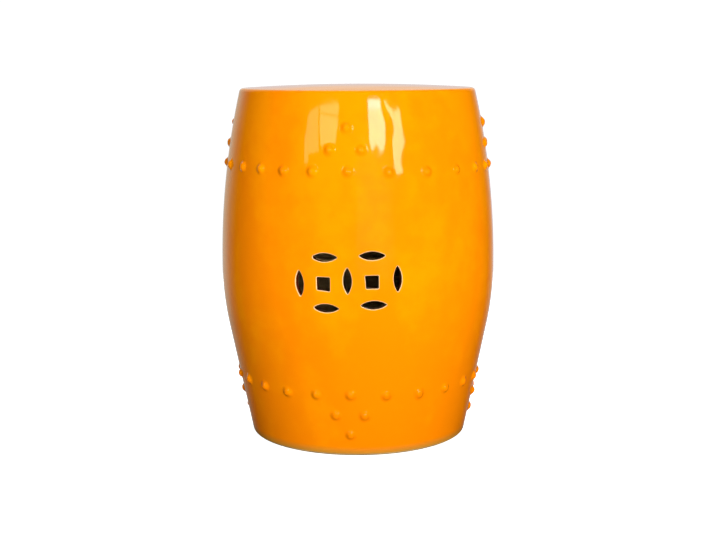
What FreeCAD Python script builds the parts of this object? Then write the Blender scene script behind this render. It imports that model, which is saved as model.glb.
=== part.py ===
import FreeCAD, Part
import math
import os

import Sketcher

# A barrel-shaped ceramic garden stool with a domed seat, an open foot, a pierced double coin on its front
# and back, and two rings of nail heads with a trio of nails on each of its four sides.
# Millimetres and degrees. +Z is up, the origin is the centre of the resting face, the front faces -Y.

SIZES = {
    # the turned outline, from the floor up
    "stool_height": 457,
    "foot_round": 4,
    "flank_lean": 11.6,
    "haunch_sweep": 390,
    "belly_radius": 179,
    "belly_height": 223,
    "shoulder_sweep": 990,
    "rim_round": 5.5,
    "seat_crown": 4.5,
    # the clay
    "wall_thickness": 9,
    "seat_thickness": 11,
    "foot_thickness": 12,
    "foot_lip": 20,
    "seam_above_belly": 25,
    "corner_coil_radius": 9,
    "seam_coil_radius": 5,
    # the pierced double coin
    "motif_above_belly": 3,
    "motif_tilt": 2.8,
    "coin_pitch": 60,
    "lens_length": 32.2,
    "lens_width": 10.3,
    "square_side": 16.1,
    # the nail heads
    "nails_per_ring": 24,
    "nail_width": 13.8,
    "nail_height": 4,
    "upper_ring_below_top": 100.5,
    "lower_ring_above_floor": 80.7,
    "trio_row_pitch": 26,
    "upper_trio_pair_spacing": 37.7,
    "lower_trio_pair_spacing": 35.7,
}

SIDES = {"front": 0, "right": 90, "back": 180, "left": 270}
PIERCED_SIDES = ("front", "back")

# How far the knife strayed from the marked coins: millimetres across and up, and degrees of turn.
# A mark's place is counted in half coin pitches from the middle of the motif.
LENS_MARKS = {
    "left": ((-2, 0), 90, (-0.6, 0.0, 1.3)),
    "middle": ((0, 0), 90, (-0.8, 1.7, -1.7)),
    "right": ((2, 0), 90, (0.4, 0.2, -1.7)),
    "upper_left": ((-1, 1), 0, (2.3, 1.1, -2.2)),
    "upper_right": ((1, 1), 0, (0.7, 0.4, -2.8)),
    "lower_left": ((-1, -1), 0, (1.2, -0.7, -4.0)),
    "lower_right": ((1, -1), 0, (-0.3, 0.5, -1.9)),
}
SQUARE_MARKS = {
    "left": ((-1, 0), (-0.3, -1.1, -2.1)),
    "right": ((1, 0), (-1.3, -1.3, -2.9)),
}

# How the hand-set nails stray around a ring: start, drift, swing and lead in degrees along it, and
# tip and lift in millimetres up.
RING_STRAY = {
    "upper": {"start": 2.5, "drift": -2.4, "swing": 3.0, "lead": 11.1, "tip": 1.3, "lift": 0.4},
    "lower": {"start": 1.0, "drift": 0.1, "swing": 1.3, "lead": 19.4, "tip": 0.9, "lift": 1.1},
}

# How far a trio's pair and its single nail sit from the middle of their side, in degrees.
TRIO_STRAY = {
    "upper": {"pair": -1.25, "single": -0.9},
    "lower": {"pair": 0.0, "single": 0.0},
}

# Heights that several pieces share, as expressions on the sheet.
SEAT_UNDERSIDE = "(Sizes.stool_height - Sizes.seat_crown - Sizes.seat_thickness)"
SEAM_HEIGHT = "(Sizes.belly_height + Sizes.seam_above_belly)"
RING_HEIGHT = {
    "upper": "(Sizes.stool_height - Sizes.upper_ring_below_top)",
    "lower": "Sizes.lower_ring_above_floor",
}

doc = FreeCAD.newDocument("garden_stool")
sheet = doc.addObject("Spreadsheet::Sheet", "Sizes")
for row, (name, value) in enumerate(SIZES.items(), start=1):
    sheet.set(f"A{row}", name)
    sheet.set(f"B{row}", str(value))
    sheet.setAlias(f"B{row}", name)
doc.recompute()


def size(name):
    return float(sheet.get(name))


def add(kind, label):
    piece = doc.addObject(kind, label)
    piece.Label = label
    return piece


def new_body(label):
    body = doc.addObject("PartDesign::Body", label)
    body.Label = label
    sketch = body.newObject("Sketcher::SketchObject", label + "_outline")
    plane = [part for part in body.Origin.OriginFeatures if part.Role == "XZ_Plane"][0]
    sketch.AttachmentSupport = (plane, [""])
    sketch.MapMode = "FlatFace"
    return body, sketch


def vector(x, y):
    return FreeCAD.Vector(x, y, 0)


def line(sketch, start, end):
    return sketch.addGeometry(Part.LineSegment(vector(*start), vector(*end)), False)


def arc(sketch, centre, radius, start, end):
    circle = Part.Circle(vector(*centre), FreeCAD.Vector(0, 0, 1), radius)
    return sketch.addGeometry(Part.ArcOfCircle(circle, math.radians(start), math.radians(end)), False)


def dimension(sketch, kind, picks, name, value, expression):
    index = sketch.addConstraint(Sketcher.Constraint(kind, *picks, value))
    sketch.renameConstraint(index, name)
    sketch.setExpression("Constraints." + name, expression)


def revolve(body, sketch):
    turned = body.newObject("PartDesign::Revolution", body.Label + "_turned")
    turned.Profile = sketch
    turned.ReferenceAxis = (sketch, ["V_Axis"])
    turned.Angle = 360
    body.Tip = turned
    sketch.Visibility = False
    return body


# How a sketch constraint names the points of a line or arc, and the sketch's own origin and upright axis.
START, END, CENTRE = range(1, 4)
ROOT, VERTICAL = -1, -2


def side_outline(sketch, inset, inset_words, low, top):
    # The flank line and the two belly arcs, set back from the glazed face by the inset.
    lean = size("flank_lean")
    haunch = size("haunch_sweep") - inset
    shoulder = size("shoulder_sweep") - inset
    radius = size("belly_radius") - inset
    height = size("belly_height")
    joint = (
        radius - haunch * (1 - math.cos(math.radians(lean))),
        height - haunch * math.sin(math.radians(lean)),
    )
    low_radius = joint[0] - (joint[1] - low) * math.tan(math.radians(lean))
    top_angle = math.degrees(math.asin((top - height) / shoulder))
    flank = line(sketch, (low_radius, low), joint)
    lower = arc(sketch, (radius - haunch, height), haunch, -lean, 0)
    upper = arc(sketch, (radius - shoulder, height), shoulder, 0, top_angle)
    sketch.addConstraint(Sketcher.Constraint("Tangent", flank, END, lower, START))
    sketch.addConstraint(Sketcher.Constraint("Coincident", lower, END, upper, START))
    sketch.addConstraint(Sketcher.Constraint("Horizontal", lower, CENTRE, lower, END))
    sketch.addConstraint(Sketcher.Constraint("Horizontal", upper, CENTRE, upper, START))
    dimension(sketch, "Radius", (lower,), "haunch", haunch, f"Sizes.haunch_sweep - {inset_words}")
    dimension(sketch, "Radius", (upper,), "shoulder", shoulder, f"Sizes.shoulder_sweep - {inset_words}")
    dimension(sketch, "DistanceX", (ROOT, 1, upper, START), "belly_radius", radius,
              f"Sizes.belly_radius - {inset_words}")
    dimension(sketch, "DistanceY", (ROOT, 1, upper, START), "belly_height", height, "Sizes.belly_height")
    dimension(sketch, "Angle", (flank,), "flank_rise", math.radians(90 - lean), "90 - Sizes.flank_lean")
    return flank, upper


def make_form():
    # The whole outside of the stool as one turned solid: every clay piece is cut from it.
    body, sketch = new_body("turned_form")
    lean = math.radians(size("flank_lean"))
    foot = size("foot_round")
    rim = size("rim_round")
    crown = size("seat_crown")
    top = size("stool_height")
    flank, upper = side_outline(sketch, 0, "0", foot * (1 - math.sin(lean)), top - crown - rim)
    start = sketch.Geometry[flank].StartPoint
    end = sketch.Geometry[upper].EndPoint
    foot_centre = (start.x - foot * math.cos(lean), foot)
    rim_centre = (end.x - rim, end.y)
    rim_angle = math.degrees(math.asin((end.y - size("belly_height")) / size("shoulder_sweep")))
    seat_edge = rim_centre[0]
    seat_sweep = (seat_edge ** 2 + crown ** 2) / (2 * crown)
    seat_angle = math.degrees(math.asin(seat_edge / seat_sweep))
    foot_arc = arc(sketch, foot_centre, foot, -90, -size("flank_lean"))
    rim_arc = arc(sketch, rim_centre, rim, rim_angle, 90)
    seat_arc = arc(sketch, (0, top - seat_sweep), seat_sweep, 90 - seat_angle, 90)
    base = line(sketch, (0, 0), (foot_centre[0], 0))
    axis = line(sketch, (0, top), (0, 0))
    sketch.addConstraint(Sketcher.Constraint("Coincident", base, START, ROOT, 1))
    sketch.addConstraint(Sketcher.Constraint("Horizontal", base))
    sketch.addConstraint(Sketcher.Constraint("Tangent", base, END, foot_arc, START))
    sketch.addConstraint(Sketcher.Constraint("Tangent", foot_arc, END, flank, START))
    sketch.addConstraint(Sketcher.Constraint("Tangent", upper, END, rim_arc, START))
    sketch.addConstraint(Sketcher.Constraint("Tangent", rim_arc, END, seat_arc, START))
    sketch.addConstraint(Sketcher.Constraint("Coincident", seat_arc, END, axis, START))
    sketch.addConstraint(Sketcher.Constraint("PointOnObject", seat_arc, CENTRE, VERTICAL))
    sketch.addConstraint(Sketcher.Constraint("PointOnObject", axis, START, VERTICAL))
    sketch.addConstraint(Sketcher.Constraint("Coincident", axis, END, base, START))
    dimension(sketch, "Radius", (foot_arc,), "foot_round", foot, "Sizes.foot_round")
    dimension(sketch, "Radius", (rim_arc,), "rim_round", rim, "Sizes.rim_round")
    dimension(sketch, "DistanceY", (ROOT, 1, axis, START), "stool_height", top, "Sizes.stool_height")
    dimension(sketch, "DistanceY", (seat_arc, START, axis, START), "seat_crown", crown, "Sizes.seat_crown")
    return revolve(body, sketch)


def make_hollow():
    # The room inside the walls, from the top of the foot slab to the underside of the seat slab.
    body, sketch = new_body("inner_hollow")
    low = size("foot_thickness")
    top = size("stool_height") - size("seat_crown") - size("seat_thickness")
    flank, upper = side_outline(sketch, size("wall_thickness"), "Sizes.wall_thickness", low, top)
    floor_line = line(sketch, (0, low), (sketch.Geometry[flank].StartPoint.x, low))
    ceiling = line(sketch, (sketch.Geometry[upper].EndPoint.x, top), (0, top))
    axis = line(sketch, (0, top), (0, low))
    for first, second in ((floor_line, flank), (upper, ceiling), (ceiling, axis), (axis, floor_line)):
        sketch.addConstraint(Sketcher.Constraint("Coincident", first, END, second, START))
    sketch.addConstraint(Sketcher.Constraint("Horizontal", floor_line))
    sketch.addConstraint(Sketcher.Constraint("Horizontal", ceiling))
    sketch.addConstraint(Sketcher.Constraint("PointOnObject", axis, START, VERTICAL))
    sketch.addConstraint(Sketcher.Constraint("PointOnObject", axis, END, VERTICAL))
    dimension(sketch, "DistanceY", (ROOT, 1, axis, END), "floor", low, "Sizes.foot_thickness")
    dimension(sketch, "DistanceY", (ROOT, 1, axis, START), "ceiling", top, SEAT_UNDERSIDE)
    return revolve(body, sketch)


def make_layer(label, low, high):
    # A wide disc between two heights, which takes one clay piece out of the turned solids.
    layer = add("Part::Cylinder", label)
    layer.setExpression("Radius", "Sizes.belly_radius * 2")
    layer.setExpression("Height", f"({high}) - ({low})")
    layer.setExpression("Placement.Base.z", low)
    return layer


def combine(kind, label, base, tool):
    piece = add(kind, label)
    piece.Base = base
    piece.Tool = tool
    return piece


def place(x, y, z, yaw, pitch, roll):
    rotation = f"create(<<rotation>>; {yaw}; {pitch}; {roll})"
    return f"create(<<placement>>; create(<<vector>>; {x}; {y}; {z}); {rotation})"


def wall_placement(angle, height, turn, across="0", up="0"):
    # Looking at the wall from outside: x runs along it to the right, y up it and z straight out of it.
    # The turn is about z, and the shifts across and up are along the turned x and y.
    depth = "(Sizes.belly_radius - 2 * Sizes.wall_thickness)"
    along = f"(({across}) * cos({turn}) - ({up}) * sin({turn}))"
    x = f"{depth} * sin({angle}) + {along} * cos({angle})"
    y = f"{along} * sin({angle}) - {depth} * cos({angle})"
    z = f"{height} + ({across}) * sin({turn}) + ({up}) * cos({turn})"
    return place(x, y, z, angle, f"-({turn})", "90")


def mark_place(side, steps, stray):
    # The wall angle, height and turn of one mark of the motif, with the layout's tilt and the knife's stray.
    tilt = "Sizes.motif_tilt"
    across = f"Sizes.coin_pitch / 2 * ({steps[0]} * cos({tilt}) - ({steps[1]}) * sin({tilt})) + {stray[0]}"
    up = f"Sizes.coin_pitch / 2 * ({steps[0]} * sin({tilt}) + ({steps[1]}) * cos({tilt})) + {stray[1]}"
    angle = f"({SIDES[side]} + ({across}) / Sizes.belly_radius * 180 / pi)"
    height = f"(Sizes.belly_height + Sizes.motif_above_belly + {up})"
    return angle, height, f"({tilt} + {stray[2]})"


LENS_ARC = "(Sizes.lens_length^2 + Sizes.lens_width^2) / (4 * Sizes.lens_width)"
LENS_SHIFT = f"({LENS_ARC} - Sizes.lens_width / 2)"
CUT_DEPTH = "4 * Sizes.wall_thickness"


def make_lens_cut(label, angle, height, turn):
    # Two crossing round cuts leave a pointed oval between them.
    cuts = []
    for name, shift in (("over", LENS_SHIFT), ("under", f"-{LENS_SHIFT}")):
        cut = add("Part::Cylinder", f"{label}_{name}")
        cut.setExpression("Radius", LENS_ARC)
        cut.setExpression("Height", CUT_DEPTH)
        cut.setExpression("Placement", wall_placement(angle, height, turn, up=shift))
        cuts.append(cut)
    return combine("Part::Common", label, *cuts)


def make_square_cut(label, angle, height, turn):
    corner = "-Sizes.square_side / 2"
    cut = add("Part::Box", label)
    cut.setExpression("Length", "Sizes.square_side")
    cut.setExpression("Width", "Sizes.square_side")
    cut.setExpression("Height", CUT_DEPTH)
    cut.setExpression("Placement", wall_placement(angle, height, turn, corner, corner))
    return cut


def make_openings():
    cuts = []
    for side in PIERCED_SIDES:
        for name, (steps, rest, stray) in LENS_MARKS.items():
            angle, height, turn = mark_place(side, steps, stray)
            cuts.append(make_lens_cut(f"{side}_{name}_lens", angle, height, f"({turn} + {rest})"))
        for name, (steps, stray) in SQUARE_MARKS.items():
            angle, height, turn = mark_place(side, steps, stray)
            cuts.append(make_square_cut(f"{side}_{name}_square", angle, height, turn))
    openings = add("Part::Compound", "openings")
    openings.Links = cuts
    return openings


def make_coil(label, section, radius, height, openings=None):
    # A roll of clay pressed into a joint from inside: the part of the roll that stands in the hollow.
    roll = add("Part::Torus", label + "_roll")
    roll.setExpression("Radius1", radius)
    roll.setExpression("Radius2", section)
    roll.setExpression("Placement.Base.z", height)
    if openings is None:
        return combine("Part::Common", label, hollow, roll)
    return combine("Part::Cut", label, combine("Part::Cut", label + "_whole", roll, shell), openings)


def flank_radius(height):
    return (
        "Sizes.belly_radius - Sizes.haunch_sweep * (1 - cos(Sizes.flank_lean)) - tan(Sizes.flank_lean)"
        f" * (Sizes.belly_height - Sizes.haunch_sweep * sin(Sizes.flank_lean) - ({height}))"
    )


def inner_flank_radius(height):
    return f"{flank_radius(height)} - Sizes.wall_thickness / cos(Sizes.flank_lean)"


def shoulder_radius(height, sweep="Sizes.shoulder_sweep"):
    return (
        "Sizes.belly_radius - Sizes.shoulder_sweep"
        f" + {sweep} * cos(asin((({height}) - Sizes.belly_height) / Sizes.shoulder_sweep))"
    )


NAIL_SPHERE = "(Sizes.nail_width^2 / 4 + Sizes.nail_height^2) / (2 * Sizes.nail_height)"
NAIL_SINK = f"({NAIL_SPHERE} - Sizes.nail_height)"


def nail_seat(height, upper):
    # The radius and height of a nail's centre, sunk square to the wall so that nail_height stands proud,
    # and how far the wall faces down there.
    if upper:
        slope = f"asin((Sizes.belly_height - {height}) / Sizes.shoulder_sweep)"
        radius = shoulder_radius(height, f"(Sizes.shoulder_sweep - {NAIL_SINK})")
    else:
        slope = "(Sizes.flank_lean * 1 deg)"
        radius = f"{flank_radius(height)} - {NAIL_SINK} * cos({slope})"
    return radius, f"{height} + {NAIL_SINK} * sin({slope})", slope


def make_nail(label, angle, height, upper):
    radius, rise, slope = nail_seat(height, upper)
    nail = add("Part::Sphere", label)
    nail.setExpression("Radius", NAIL_SPHERE)
    x = f"({radius}) * sin({angle})"
    y = f"-({radius}) * cos({angle})"
    nail.setExpression("Placement", place(x, y, rise, angle, "0", f"90 deg + {slope}"))
    return nail


def make_nails(label, places, upper):
    # Each nail is a whole ball until the turned form takes away what would lie inside the wall.
    group = add("Part::Compound", label)
    nails = []
    for number, (angle, height) in enumerate(places, start=1):
        ball = make_nail(f"{label}_ball_{number}", angle, height, upper)
        nails.append(combine("Part::Cut", f"{label}_{number}", ball, form))
    group.Links = nails
    return group


def ring_places(ring):
    stray = RING_STRAY[ring]
    places = []
    count = round(size("nails_per_ring"))
    for number in range(count):
        even = number * 360 / count
        drift = stray["drift"] * math.sin(math.radians(even))
        swing = stray["swing"] * math.cos(math.radians(3 * (even + stray["lead"])))
        lift = stray["lift"] * math.cos(math.radians(6 * even)) - stray["tip"] * math.sin(math.radians(even))
        angle = even + stray["start"] + drift - swing
        places.append((f"{angle:.2f}", f"({RING_HEIGHT[ring]} + {lift:.2f})"))
    return places


def trio_places(side, ring, direction):
    # A pair of nails past the ring and a single one past the pair, as a triangle that points away from it.
    spacing = f"Sizes.{ring}_trio_pair_spacing"
    pair_height = f"({RING_HEIGHT[ring]} {direction} Sizes.trio_row_pitch)"
    single_height = f"({RING_HEIGHT[ring]} {direction} 2 * Sizes.trio_row_pitch)"
    wall = shoulder_radius(pair_height) if ring == "upper" else flank_radius(pair_height)
    half_angle = f"{spacing} / 2 / ({wall}) * 180 / pi"
    pair = SIDES[side] + TRIO_STRAY[ring]["pair"]
    single = SIDES[side] + TRIO_STRAY[ring]["single"]
    return [
        (f"({pair} - {half_angle})", pair_height),
        (f"({pair} + {half_angle})", pair_height),
        (f"({single})", single_height),
    ]


form = make_form()
hollow = make_hollow()
shell = combine("Part::Cut", "wall_shell", form, hollow)
openings = make_openings()

pieces = []

# Foot slab: a flat ring with the rounded outer edge that the stool stands on.
foot_layer = make_layer("foot_layer", "0", "Sizes.foot_thickness")
foot_disc = combine("Part::Common", "foot_disc", form, foot_layer)
foot_hole = add("Part::Cylinder", "foot_hole")
foot_hole.setExpression("Radius", f"{inner_flank_radius('Sizes.foot_thickness')} - Sizes.foot_lip")
foot_hole.setExpression("Height", "Sizes.foot_thickness * 3")
foot_hole.setExpression("Placement.Base.z", "-Sizes.foot_thickness")
pieces.append(combine("Part::Cut", "foot_ring", foot_disc, foot_hole))

# The two courses of the wall, which meet at a seam above the widest line.
lower_layer = make_layer("lower_layer", "Sizes.foot_thickness", SEAM_HEIGHT)
lower_course = combine("Part::Common", "lower_course", shell, lower_layer)
pieces.append(combine("Part::Cut", "lower_barrel_wall", lower_course, openings))
upper_layer = make_layer("upper_layer", SEAM_HEIGHT, SEAT_UNDERSIDE)
upper_course = combine("Part::Common", "upper_course", shell, upper_layer)
pieces.append(combine("Part::Cut", "upper_barrel_wall", upper_course, openings))

# Seat slab: the domed top with its small rounded rim.
seat_layer = make_layer("seat_layer", SEAT_UNDERSIDE, "Sizes.stool_height + Sizes.seat_thickness")
pieces.append(combine("Part::Common", "seat_slab", form, seat_layer))

# Rolls of clay that back the three joints from inside. The upper two stand a wall's thickness in from
# the shoulder, the lowest one in the corner between the flank and the foot slab.
foot_corner = inner_flank_radius("Sizes.foot_thickness")
seam_face = f"{shoulder_radius(SEAM_HEIGHT)} - Sizes.wall_thickness"
seat_corner = f"{shoulder_radius(SEAT_UNDERSIDE)} - Sizes.wall_thickness"
corner_coil = "Sizes.corner_coil_radius"
seam_coil = "Sizes.seam_coil_radius"
pieces.append(make_coil("foot_joint_coil", corner_coil, foot_corner, "Sizes.foot_thickness"))
pieces.append(make_coil("belly_joint_coil", seam_coil, seam_face, SEAM_HEIGHT, openings))
pieces.append(make_coil("seat_joint_coil", corner_coil, seat_corner, SEAT_UNDERSIDE))

# The nails: two rings, and a trio past each ring on every side.
for ring, direction in (("upper", "+"), ("lower", "-")):
    pieces.append(make_nails(f"{ring}_nail_ring", ring_places(ring), ring == "upper"))
    for side in SIDES:
        places = trio_places(side, ring, direction)
        pieces.append(make_nails(f"{side}_{ring}_nail_trio", places, ring == "upper"))

doc.recompute()

for thing in doc.Objects:
    if "Invalid" in thing.State or "Error" in thing.State:
        raise RuntimeError(f"{thing.Label} failed: {thing.State}")
for piece in pieces:
    if piece.Shape.isNull() or not piece.Shape.isValid():
        raise RuntimeError(f"{piece.Label} has no valid shape")

os.makedirs("parts", exist_ok=True)
for piece in pieces:
    piece.Shape.exportStep(f"parts/{piece.Label}.step")
    print(piece.Label, len(piece.Shape.Solids), "solids", round(piece.Shape.Volume / 1000, 1), "cm3")
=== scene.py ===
import math

import bmesh
import bpy
from mathutils import Euler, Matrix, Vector, geometry


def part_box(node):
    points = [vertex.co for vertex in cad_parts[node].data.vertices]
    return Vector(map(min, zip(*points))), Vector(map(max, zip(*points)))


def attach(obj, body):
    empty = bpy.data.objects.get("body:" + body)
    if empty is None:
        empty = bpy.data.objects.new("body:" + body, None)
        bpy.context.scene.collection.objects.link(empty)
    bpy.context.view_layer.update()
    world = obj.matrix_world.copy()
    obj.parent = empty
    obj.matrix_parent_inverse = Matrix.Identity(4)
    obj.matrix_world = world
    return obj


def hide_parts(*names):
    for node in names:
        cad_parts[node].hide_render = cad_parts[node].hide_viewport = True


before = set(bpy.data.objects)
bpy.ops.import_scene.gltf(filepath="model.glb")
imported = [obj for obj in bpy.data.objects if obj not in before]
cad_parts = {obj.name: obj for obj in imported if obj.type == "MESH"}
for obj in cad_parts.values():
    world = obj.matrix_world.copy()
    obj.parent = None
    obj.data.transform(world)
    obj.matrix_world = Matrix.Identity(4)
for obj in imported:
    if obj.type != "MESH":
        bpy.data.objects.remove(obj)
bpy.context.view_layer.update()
print("frame loaded")

# Metres and radians. The stool stands on z = 0 about the z axis, and its front faces -y.
# Angles run round it from the front towards +x.

turned = {                                   # the turned shape that every clay piece shares
    "height": 0.457,
    "footRound": 0.004,
    "flankLean": math.radians(11.6),
    "haunchSweep": 0.390,
    "bellyRadius": 0.179,
    "bellyHeight": 0.223,
    "shoulderSweep": 0.990,
    "rimRound": 0.0055,
    "seatCrown": 0.0045,
    "wallThickness": 0.009,
    "columns": 360,
    "outerSpacing": 0.003,                   # height of a row of faces on the outside
    "innerSpacing": 0.012,                   # on the inside
    "innerPatchSpacing": 0.006,              # and on the inside beside the cuts
}
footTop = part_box("foot_ring")[1].z
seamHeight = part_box("lower_barrel_wall")[1].z
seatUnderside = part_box("seat_slab")[0].z


def wallRadius(z, inset=0.0):
    # radius of the turned side at a height, with an inset measured square to it
    lean, belly = turned["flankLean"], turned["bellyHeight"]
    if z >= belly:
        sweep = turned["shoulderSweep"]
        return turned["bellyRadius"] - sweep + math.sqrt((sweep - inset) ** 2 - (z - belly) ** 2)
    sweep = turned["haunchSweep"]
    centre = turned["bellyRadius"] - sweep
    flankTop = belly - (sweep - inset) * math.sin(lean)
    if z >= flankTop:
        return centre + math.sqrt((sweep - inset) ** 2 - (z - belly) ** 2)
    flankRadius = centre + (sweep - inset) * math.cos(lean)
    footRound = turned["footRound"]
    roundTop = footRound * (1 - math.sin(lean))
    if z >= roundTop or inset:
        return flankRadius - (flankTop - z) * math.tan(lean)
    roundRadius = flankRadius - (flankTop - roundTop) * math.tan(lean)
    return roundRadius - footRound * math.cos(lean) + math.sqrt(footRound ** 2 - (footRound - z) ** 2)


def innerRadius(z):
    return wallRadius(z, turned["wallThickness"])


def spread(start, end, steps):
    # evenly spaced values, both ends with them
    return [start + (end - start) * i / steps for i in range(steps + 1)]


class Wire:                                  # one output socket, so that node maths reads as plain sums
    def __init__(self, board, socket):
        self.board, self.socket = board, socket

    def use(self, operation, *terms):
        return self.board.sum(operation, self, *terms)

    def output(self, name):
        return Wire(self.board, self.socket.node.outputs[name])

    def __add__(self, other):
        return self.board.sum("ADD", self, other)

    def __radd__(self, other):
        return self.board.sum("ADD", other, self)

    def __sub__(self, other):
        return self.board.sum("SUBTRACT", self, other)

    def __rsub__(self, other):
        return self.board.sum("SUBTRACT", other, self)

    def __mul__(self, other):
        return self.board.sum("MULTIPLY", self, other)

    def __rmul__(self, other):
        return self.board.sum("MULTIPLY", other, self)

    def __truediv__(self, other):
        return self.board.sum("DIVIDE", self, other)


class Board:                                 # a node tree and the one method that adds any node to it
    def __init__(self, tree):
        self.tree = tree
        tree.nodes.clear()

    def add(self, kind, settings=None, sockets=None, output=0):
        node = self.tree.nodes.new(kind)
        for name, value in (settings or {}).items():
            setattr(node, name, value)
        for name, value in (sockets or {}).items():
            if isinstance(value, Wire):
                self.tree.links.new(value.socket, node.inputs[name])
            else:
                node.inputs[name].default_value = value
        return Wire(self, node.outputs[output]) if node.outputs else node

    def sum(self, operation, *terms):
        return self.add("ShaderNodeMath", {"operation": operation}, dict(enumerate(terms)))

    def ease(self, value, start, end):
        # 0 before start, 1 after end, and a soft step between them
        sockets = {"Value": value, "From Min": start, "From Max": end}
        return self.add("ShaderNodeMapRange", {"interpolation_type": "SMOOTHSTEP"}, sockets)

    def tint(self, factor, first, second):
        return self.add("ShaderNodeMix", {"data_type": "RGBA"}, {0: factor, 6: first, 7: second}, output=2)

    def noise(self, place, scale, detail=2.0, roughness=0.5):
        sockets = {"Vector": place, "Scale": scale, "Detail": detail, "Roughness": roughness}
        return self.add("ShaderNodeTexNoise", {}, sockets)

    def attribute(self, name):
        return self.add("ShaderNodeAttribute", {"attribute_name": name}, output="Fac")


def newMaterial(name):
    material = bpy.data.materials.new(name)
    material.use_nodes = True
    return material, Board(material.node_tree)


glaze = {
    "orange": (1.0, 0.302, 0.0, 1),          # the glaze at its usual depth
    "deepOrange": (0.97, 0.252, 0.0, 1),     # where it ran and stands thicker
    "darkPoolAndShade": (0.62, 0.13, 0.0, 1),          # where it gathers under a nail, with painted shade on the nail's lower side; the specks use it too
    "broken": (0.95, 0.72, 0.40, 1),         # where it breaks thin over an edge
    "footBrown": (0.42, 0.25, 0.04, 1),       # the colour that the glaze turns towards, darker and browner, near the foot
    "footBrownTop": 0.014,
    "footBrownShare": 0.85,
    "cutWall": (0.10, 0.012, 0.003, 1),      # painted shade on the cut walls, a dark maroon
    "roughness": 0.045,
    "roughStray": 0.02,
    "thinRoughness": 0.06,                   # what it gains where the glaze is thin
    "specular": 0.40,
    "runScale": 16.0,
    "runStretch": 0.35,                      # below 1, so a run is longer than it is wide
    "runShare": 0.65,                        # of runs in the depth of the coat; clouds make the rest
    "cloudScale": 42.0,
    "footward": 0.35,                        # how much deeper the coat gets towards the foot
    "depthEdges": (0.26, 0.52),
    "raggedScale": 260.0,
    "raggedShare": 0.3,
    "thinEdges": (0.12, 0.88),
    "speckScale": 900.0,
    "speckEdges": (0.76, 0.80),
    "speckShare": 0.35,
    "waveScale": 22.0,
    "waveHeight": 0.00035,
    "peelScale": 420.0,
    "peelHeight": 0.000004,
}


def makeGlaze():
    material, board = newMaterial("orange_glaze_fired")
    place = board.add("ShaderNodeTexCoord", output="Object")
    # long soft runs down the wall, clouds of thickness, and a deeper coat towards the foot
    stretch = (1.0, 1.0, glaze["runStretch"])
    stretched = board.add("ShaderNodeMapping", {}, {"Vector": place, "Scale": stretch})
    runs = board.noise(stretched, glaze["runScale"], 2.0, 0.5)
    clouds = board.noise(place, glaze["cloudScale"], 3.0, 0.6)
    height = board.add("ShaderNodeSeparateXYZ", {}, {"Vector": place}, output="Z")
    coat = runs * glaze["runShare"] + clouds * (1 - glaze["runShare"]) - height * glaze["footward"]
    depth = board.ease(coat, *glaze["depthEdges"])
    colour = board.tint(depth, glaze["orange"], glaze["deepOrange"])
    # a dark crescent under each nail: glaze gathered at its foot, with painted shade on its lower side
    colour = board.tint(board.attribute("darkPoolAndShade"), colour, glaze["darkPoolAndShade"])
    ragged = board.noise(place, glaze["raggedScale"], 2.0, 0.6)
    thin = board.ease(board.attribute("thin") + (ragged - 0.5) * glaze["raggedShare"], *glaze["thinEdges"])
    colour = board.tint(thin, colour, glaze["broken"])
    # painted shade on the cut walls and on the edges that turn into them
    colour = board.tint(board.attribute("burnt"), colour, glaze["cutWall"])
    # the glaze turns darker and browner towards the foot
    footBrowning = board.ease(height, glaze["footBrownTop"], 0.0) * glaze["footBrownShare"]
    colour = board.tint(footBrowning, colour, glaze["footBrown"])
    specks = board.ease(board.noise(place, glaze["speckScale"], 1.0, 0.5), *glaze["speckEdges"])
    colour = board.tint(specks * glaze["speckShare"], colour, glaze["darkPoolAndShade"])
    rough = board.ease(clouds, 0.2, 0.9) * glaze["roughStray"] + glaze["roughness"]
    rough = rough + thin * glaze["thinRoughness"]
    waves = board.noise(place, glaze["waveScale"], 1.0, 0.4)
    peel = board.noise(place, glaze["peelScale"], 1.0, 0.5)
    bump = board.add("ShaderNodeBump", {}, {"Height": waves, "Distance": glaze["waveHeight"]})
    bump = board.add("ShaderNodeBump", {}, {"Height": peel, "Distance": glaze["peelHeight"], "Normal": bump})
    shader = board.add("ShaderNodeBsdfPrincipled", {}, {
        "Base Color": colour, "Roughness": rough, "Normal": bump,
        "Specular IOR Level": glaze["specular"]})
    board.add("ShaderNodeOutputMaterial", {}, {"Surface": shader})
    return material


clay = {
    "pale": (0.54, 0.38, 0.17, 1),
    "tan": (0.43, 0.29, 0.12, 1),
    "grit": (0.26, 0.17, 0.10, 1),
    "cloudScale": 28.0,
    "cloudEdges": (0.35, 0.70),
    "gritScale": 1100.0,
    "gritEdges": (0.66, 0.74),
    "gritShare": 0.7,
    "ridgePitch": 0.0042,                    # throwing ridges
    "ridgeHeight": 0.00015,
    "wanderScale": 9.0,
    "wander": 0.006,                         # how far a ridge strays up and down
    "grainScale": 700.0,
    "grainHeight": 0.00006,
    "roughness": 0.80,
    "roughStray": 0.12,
    "specular": 0.25,
}


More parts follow.
